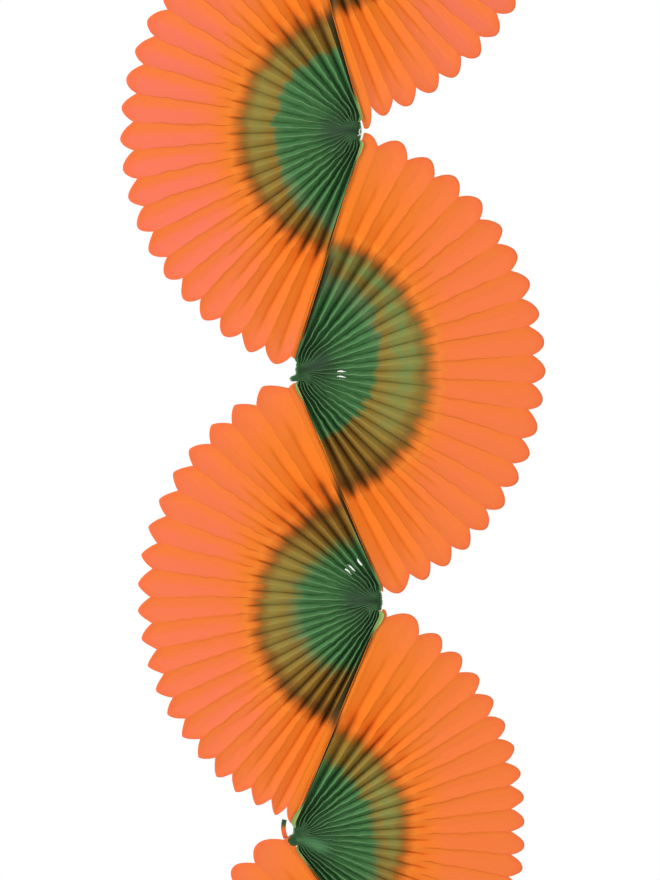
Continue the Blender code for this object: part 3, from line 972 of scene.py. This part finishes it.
def green_dye_and_shading(sheet, base):
    """Over that, the green core, with painted light on the panels that face the key light, painted shade in
    the valleys, near the hub and beside the seams, and painted highlights on the folds' ridges near the hub.
    """
    tree, radius, ridge = sheet.tree, sheet.radius, sheet.ridge
    edge = attribute(tree, "green_edge")
    soft = (edge - 52.0).at_least(0.0) * 0.35 + attribute(tree, "core_soft")
    bled = radius + sheet.cloud * 8.0 + sheet.streak * 4.0 + sheet.jag * 12.0
    core = ((bled - edge) / soft).fall(-1.0, 1.0)
    # Painted light: lighter green on the panels that face the key light and on the fans' end petals
    lit = 0.35 + sheet.to_ends.rise(0.3, 0.9) * 0.4 + sheet.side * 0.45
    green = mixed(GREEN, LIT_GREEN, lit + sheet.cloud * 0.9 + sheet.streak * 0.5)
    green = mixed(green, GREY_OLIVE, radius.rise(44.0, 58.0) * (0.55 + sheet.cloud * 1.6))
    # Painted shade: the green darkens towards the hub, where the pleats are deep and narrow
    green = mixed(green, DARK_GREEN, radius.fall(12.0, 34.0) * 0.55)
    # Painted shade on the smooth dome beside the hub, turned to painted light by its fan's dome light
    domed = attribute(tree, "dome") * radius.fall(*DOME_EDGE)
    dome_light_and_shade = mixed(DOME_SHADE_GREEN, DOME_LIT, attribute(tree, "dome_light"))
    green = mixed(green, dome_light_and_shade, domed)
    base = mixed(base, green, core)
    at_ends = sheet.to_ends.rise(0.3, 0.9)
    # Painted shade: the valleys darken to dark brown in the ring and dark green in the core, most on the end
    # petals
    shaded_valleys = (1.0 - ridge).rise(0.78 - at_ends * 0.4, 1.0) * radius.fall(76.0, 84.0)
    shaded_valleys = shaded_valleys * (0.45 + at_ends * 0.55) * (1.0 - sheet.end_leaf)
    base = mixed(base, DARK_BROWN, shaded_valleys * (1.0 - core) * (0.12 + attribute(tree, "brown") * 0.58))
    base = mixed(base, DARK_GREEN, shaded_valleys * core * 0.3)
    # Painted highlight: pale green along the folds' ridges near the hub
    ridge_highlight = ridge.rise(0.87, 0.99) * radius.between(3.0, 10.0, 30.0, 66.0) * (1.0 - domed)
    base = mixed(base, PALE_HIGHLIGHT_GREEN, ridge_highlight * (0.42 + sheet.streak * 0.9))
    shadow = sheet.end_leaf * radius.between(18.0, 26.0, 66.0, 84.0)
    base = mixed(base, SEAM_SHADE, shadow * 0.85)
    inner_end = sheet.end_leaf * radius.fall(14.0, 22.0) * attribute(tree, "strip").rise(0.0, 0.4)
    return mixed(base, YELLOW_GREEN, inner_end * (0.8 + sheet.cloud))


def valley_shade_reach(petal, radius):
    """How much painted shade is left in a valley at a radius: most on the petals beside the seams."""
    top = (DEEP_AT_TOP - petal * DEEP_LESS_A_PETAL) * 1000.0 + SHADED_PAST_TOP
    bottom = ((petal - PETALS) * DEEP_MORE_A_PETAL + DEEP_AT_BOTTOM) * 1000.0 + SHADED_PAST_BOTTOM
    return (radius - top).fall(-6.0, 10.0).at_least((radius - bottom).fall(-6.0, 10.0))


def bunched_tissue():
    """Dark green tissue at the hubs, with painted highlights on the leaves' inner edges."""
    material, shader = new_material("green tissue, bunched", 0.8)
    tree, place = material.node_tree, object_place(shader)
    blot = noise(place, 260.0, 3.0)
    base = mixed(DARK_GREEN, GREEN, 0.35 + blot * 1.4)
    # Painted highlight on the leaf ends' inner edges
    base = mixed(base, PALE_HIGHLIGHT_GREEN, attribute(tree, "leaf_edge_highlight") * 0.55)
    base = mixed(base, EDGE_ORANGE, attribute(tree, "orange"))
    finish_shader(shader, base, noise(place, FIBRE_SCALE, 4.0), 0.35, 0.0005)
    return material


def cotton_thread():
    """White thread with a little fuzz."""
    material, shader = new_material("white cotton thread", 0.85)
    fuzz = noise(object_place(shader), 2600.0, 3.0)
    base = mixed(THREAD_WHITE, THREAD_GREY, fuzz + 0.3)
    finish_shader(shader, base, fuzz, 0.5, 0.0002)
    return material


def buff_card():
    """Buff cardboard with fibres along its length."""
    material, shader = new_material("buff cardboard", 0.8)
    place = object_place(shader)
    x, y, z = parts(place)
    fleck = noise(joined(x * 700.0, y * 700.0, z * 160.0), 1.0, 4.0)
    cloud = noise(place, 60.0, 3.0)
    base = mixed(CARD_BUFF, CARD_FLECK, fleck * 1.3 + cloud * 0.5 + 0.15)
    finish_shader(shader, base, fleck, 0.4, 0.0004)
    return material


# Hubs, threads and cards

def leaf_end_line(fan, share, back, reach):
    """Middle line of a leaf's inner end as (x, z): stacked in the bundle, then bent to its own direction."""
    own_way = direction(fan.direction(share * PETALS))
    along, normal = fan.middle_axes()
    stacked = normal * (fan.turn * (share - 0.5) * 2 * BUNDLE_HALF)
    points = []
    for step in range(LEAF_END_STEPS + 1):
        radius = -back + (reach + back) * step / LEAF_END_STEPS
        freed = smooth_step((radius - TURNS_FROM) / TURNS_OVER)
        straight = along * radius + stacked
        own = own_way * max(radius, 0.0)
        points.append(fan.hub + straight.lerp(own + stacked * KEPT_ASIDE, freed))
    return points


def smooth_step(value):
    """0 up to 0, 1 from 1, and a smooth step between them."""
    share = min(max(value, 0.0), 1.0)
    return share * share * (3 - 2 * share)


def leaf_end(mesh, line, height, wall, highlight_layer):
    """One thin upright strip along a line, rounded off where it starts."""
    rings = []
    count = len(line) - 1
    for step, point in enumerate(line):
        ahead = line[min(step + 1, count)] - line[max(step - 1, 0)]
        normal = Vector((-ahead.y, ahead.x)).normalized() * wall / 2
        rise = height * (START_HEIGHT + (1.0 - START_HEIGHT) * smooth_step(step / ROUNDED_STEPS))
        rise *= 1.0 - OUTWARD_DROP * step / count
        corners = [(normal, -rise), (normal, rise), (-normal, rise), (-normal, -rise)]
        rings.append([mesh.verts.new((point.x + n.x, y, point.y + n.y)) for n, y in corners])
    for ring, after in zip(rings, rings[1:]):
        for a in range(4):
            b = (a + 1) % 4
            mesh.faces.new((ring[a], ring[b], after[b], after[a]))
    mesh.faces.new(rings[0][::-1])
    mesh.faces.new(rings[-1])
    # The start of each strip carries the painted highlight
    for vert in rings[0]:
        vert[highlight_layer] = 1.0


def hub_bundle(name, fan, material):
    """The inner ends of a fan's leaves, pressed together, as the thread binds them."""
    draw = np.random.default_rng(40 + fan.number)
    mesh = bmesh.new()
    layers = mesh.verts.layers.float
    layers.new("orange")
    layers.new("leaf_edge_highlight")
    highlight_layer, orange_layer = layers["leaf_edge_highlight"], layers["orange"]
    corner_share, corner_width, corner_back = CORNERS.get(fan.number, NO_CORNER)
    for leaf in range(LEAF_ENDS):
        share = (leaf + 0.5) / LEAF_ENDS
        corner = corner_back * smooth_step(1.3 - abs(share - corner_share) / corner_width)
        rounded = BUNDLE_ROUNDING * (1.0 - (2 * share - 1.0) ** 2)
        back = rounded + LEAF_END_BACK + corner + BACK_SPREAD * draw.random()
        reach = LEAF_END_REACH * by_chance(draw, *REACH_SHARES)
        height = BUNDLE_HEIGHT * by_chance(draw, *HEIGHT_SHARES)
        leaf_end(mesh, leaf_end_line(fan, share, back, reach), height, LEAF_END_WALL, highlight_layer)
    if fan.number == TAB_FAN:
        add_tab(mesh, fan, highlight_layer, orange_layer)
    bmesh.ops.recalc_face_normals(mesh, faces=mesh.faces)
    return finished_piece(name, mesh, material, smooth=False)


def by_chance(draw, least, spread):
    return least + spread * draw.random()


def add_tab(mesh, fan, highlight_layer, orange_layer):
    """A scrap of tissue that stands up beside the hub, orange below and green at its tip."""
    known = set(mesh.verts)
    low, high = (fan.hub + Vector(place) for place in TAB_ENDS)
    line = []
    for step in range(TAB_STEPS + 1):
        share = step / TAB_STEPS
        bulge = Vector((TAB_BULGE * math.sin(math.pi * share), 0.0))
        line.append(low.lerp(high, share) + bulge)
    leaf_end(mesh, line, PAPER, TAB_WIDTH, highlight_layer)
    for vert in set(mesh.verts) - known:
        vert[highlight_layer] = 0.0
        share = (vert.co.z - low.y) / (high.y - low.y)
        vert[orange_layer] = 1.0 - smooth_step((share - 0.55) * 8)


def finished_piece(name, mesh, material, smooth=True):
    data = bpy.data.meshes.new(name)
    mesh.to_mesh(data)
    mesh.free()
    data.materials.append(material)
    if smooth:
        data.shade_smooth()
    return linked(name, data)


def thread_points(fan):
    """Turns round the bundle's waist, and at one fan a loose tail past its inner end."""
    along, normal = fan.middle_axes()
    points = []
    for step in range(THREAD_TURNS * THREAD_STEPS + 1):
        turns = step / THREAD_STEPS
        turn = 2 * math.pi * turns
        side = along * (THREAD_ALONG * math.cos(turn) + THREAD_PLACE)
        side += normal * (THREAD_ACROSS * math.sin(turn))
        y = THREAD_WIDTH * THREAD_SPACING * (turns - THREAD_TURNS / 2)
        points.append(Vector((fan.hub.x + side.x, y, fan.hub.y + side.y)))
    if fan.number == TAIL_FAN:
        for out, up, y in THREAD_TAIL:
            side = normal * up - along * out
            points.append(Vector((fan.hub.x + side.x, y, fan.hub.y + side.y)))
    return points


def binding_thread(name, fan, material):
    """The white thread of one hub, as one unbroken tube."""
    curve = bpy.data.curves.new(name, "CURVE")
    curve.dimensions = "3D"
    curve.bevel_depth = THREAD_WIDTH / 2
    curve.bevel_resolution = 2
    curve.use_fill_caps = True
    points = thread_points(fan)
    spline = curve.splines.new("POLY")
    spline.points.add(len(points) - 1)
    for point, at in zip(spline.points, points):
        point.co = (*at, 1.0)
    piece = baked(name, linked(name + "_holder", curve))
    piece.data.materials.clear()
    piece.data.materials.append(material)
    piece.data.shade_smooth()
    return piece


def end_card(node, material):
    """The stiff card strip, with its cut edges eased."""
    mesh = bmesh.new()
    mesh.from_mesh(frame["nodes"][node].data)
    bmesh.ops.remove_doubles(mesh, verts=mesh.verts, dist=1e-6)
    bmesh.ops.dissolve_limit(mesh, angle_limit=math.radians(1.0), verts=mesh.verts, edges=mesh.edges)
    bmesh.ops.recalc_face_normals(mesh, faces=mesh.faces)
    piece = finished_piece(node + "_strip", mesh, material, smooth=False)
    eased = piece.modifiers.new("eased edges", "BEVEL")
    eased.width = EASED_EDGE
    eased.segments = 2
    eased.limit_method = "ANGLE"
    return baked(node + "_strip", piece)


# Assembly

def body_of(node):
    return frame["nodes"][node]["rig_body"]


def dress(piece, node):
    """Put a finished piece in the place of a CAD node and on its body."""
    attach(piece, body_of(node))
    stand_for(node)


def stand_for(node):
    """Let a piece replace a CAD node by hiding the node."""
    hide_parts(node)


def add_fan(fan, pleats, materials):
    """All the pieces of one fan: five sections of petals, two seam leaves, the bunch and the thread."""
    name = f"fan_{fan.number}"
    tissue = materials["tissue"]
    for section in range(SECTIONS):
        first = section * SECTION_PETALS
        node = f"{name}_petals_{section + 1}"
        piece = pleated_sheet(node + "_tissue", pleats, tissue, fan, first, SECTION_PETALS, section)
        dress(piece, node)
        middle = first + SECTION_PETALS / 2
        flatten(piece, fan, middle)
    first_leaf = pleated_sheet(f"{name}_first_leaf_tissue", pleats, tissue, fan, -1, 1, 0)
    dress(first_leaf, f"{name}_first_leaf")
    last_leaf = pleated_sheet(f"{name}_last_leaf_tissue", pleats, tissue, fan, PETALS, 1, SECTIONS - 1)
    dress(last_leaf, f"{name}_last_leaf")
    if fan.number > 1:
        flatten(first_leaf, fan, -0.5)
    if body_of(f"{name}_last_leaf") != body_of(f"{name}_hub_gather"):
        flatten(last_leaf, fan, PETALS + 1.0)
    bundle = hub_bundle(f"{name}_leaf_ends", fan, materials["hub"])
    turn_with_fold(bundle, fan)
    stand_for(f"{name}_hub_gather")
    thread = binding_thread(f"{name}_thread", fan, materials["thread"])
    turn_with_fold(thread, fan)
    stand_for(f"{name}_binding_thread")


def turn_with_fold(piece, fan):
    """Let each place at the hub turn with its own leaf as the garland closes."""
    name = f"fan_{fan.number}"
    normal = fan.middle_axes()[1] * (fan.turn * BLEND_HALF)
    first, last = fan.hub - normal, fan.hub + normal
    bodies = body_of(f"{name}_first_leaf"), body_of(f"{name}_last_leaf")
    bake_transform(piece, *bodies, start=(first.x, 0, first.y), end=(last.x, 0, last.y))


def flatten(piece, fan, petal):
    """Give a sheet a mesh of its own. The direction of the petal's line through the hub is worked out but not
    used.
    """
    angle = fan.direction(petal)
    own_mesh(piece)


# Room

def add_camera():
    """The photograph's view, level with the garland."""
    data = bpy.data.cameras.new("camera")
    camera = linked("camera", data)
    camera.location = (VIEW_MIDDLE[0], -VIEW_DISTANCE, VIEW_MIDDLE[1])
    camera.rotation_euler = (math.pi / 2, 0, 0)
    data.lens = data.sensor_width * VIEW_DISTANCE / VIEW_HEIGHT
    data.clip_end = 50
    bpy.context.scene.camera = camera


def add_area_light(name, place, size, power, aim):
    data = bpy.data.lights.new(name, "AREA")
    data.size = size
    data.energy = power
    lamp = linked(name, data)
    lamp.location = place
    lamp.rotation_euler = (Vector(aim) - Vector(place)).to_track_quat("-Z", "Y").to_euler()


def add_world():
    """Soft even light, and plain white where the camera or a mirror would see the surroundings."""
    world = bpy.data.worlds.new("studio")
    bpy.context.scene.world = world
    world.use_nodes = True
    tree = world.node_tree
    background = tree.nodes["Background"]
    path = tree.nodes.new("ShaderNodeLightPath")
    seen = Number(path.outputs["Is Camera Ray"])
    for ray in ("Is Glossy Ray", "Is Transmission Ray"):
        seen = seen.at_least(Number(path.outputs[ray]))
    background.inputs["Color"].default_value = (1.0, 1.0, 1.0, 1.0)
    plug(seen * (1.0 - AMBIENT) + AMBIENT, background.inputs["Strength"])


def add_floor():
    """A pale floor below the garland, out of the photograph's view."""
    mesh = bmesh.new()
    bmesh.ops.create_grid(mesh, x_segments=1, y_segments=1, size=FLOOR_HALF)
    bmesh.ops.translate(mesh, verts=mesh.verts, vec=(0, 0, cad_low.z - FLOOR_DROP))
    material, shader = new_material("pale floor", 0.9)
    shader.inputs["Base Color"].default_value = FLOOR_GREY
    finished_piece("floor", mesh, material)


def main():
    points = garland_points()
    pleats = PleatTree()
    materials = {
        "tissue": dyed_tissue(),
        "hub": bunched_tissue(),
        "thread": cotton_thread(),
        "card": buff_card(),
    }
    for number in range(1, len(points) - 1):
        add_fan(Fan(number, points), pleats, materials)
    for node in ("top_card", "bottom_card"):
        dress(end_card(node, materials["card"]), node)
    add_world()
    aim = (VIEW_MIDDLE[0], 0, VIEW_MIDDLE[1])
    for name, place, size, power in LIGHTS:
        add_area_light(name, place, size, power, aim)
    add_floor()
    add_camera()
    bpy.context.scene.view_settings.view_transform = "Standard"


main()
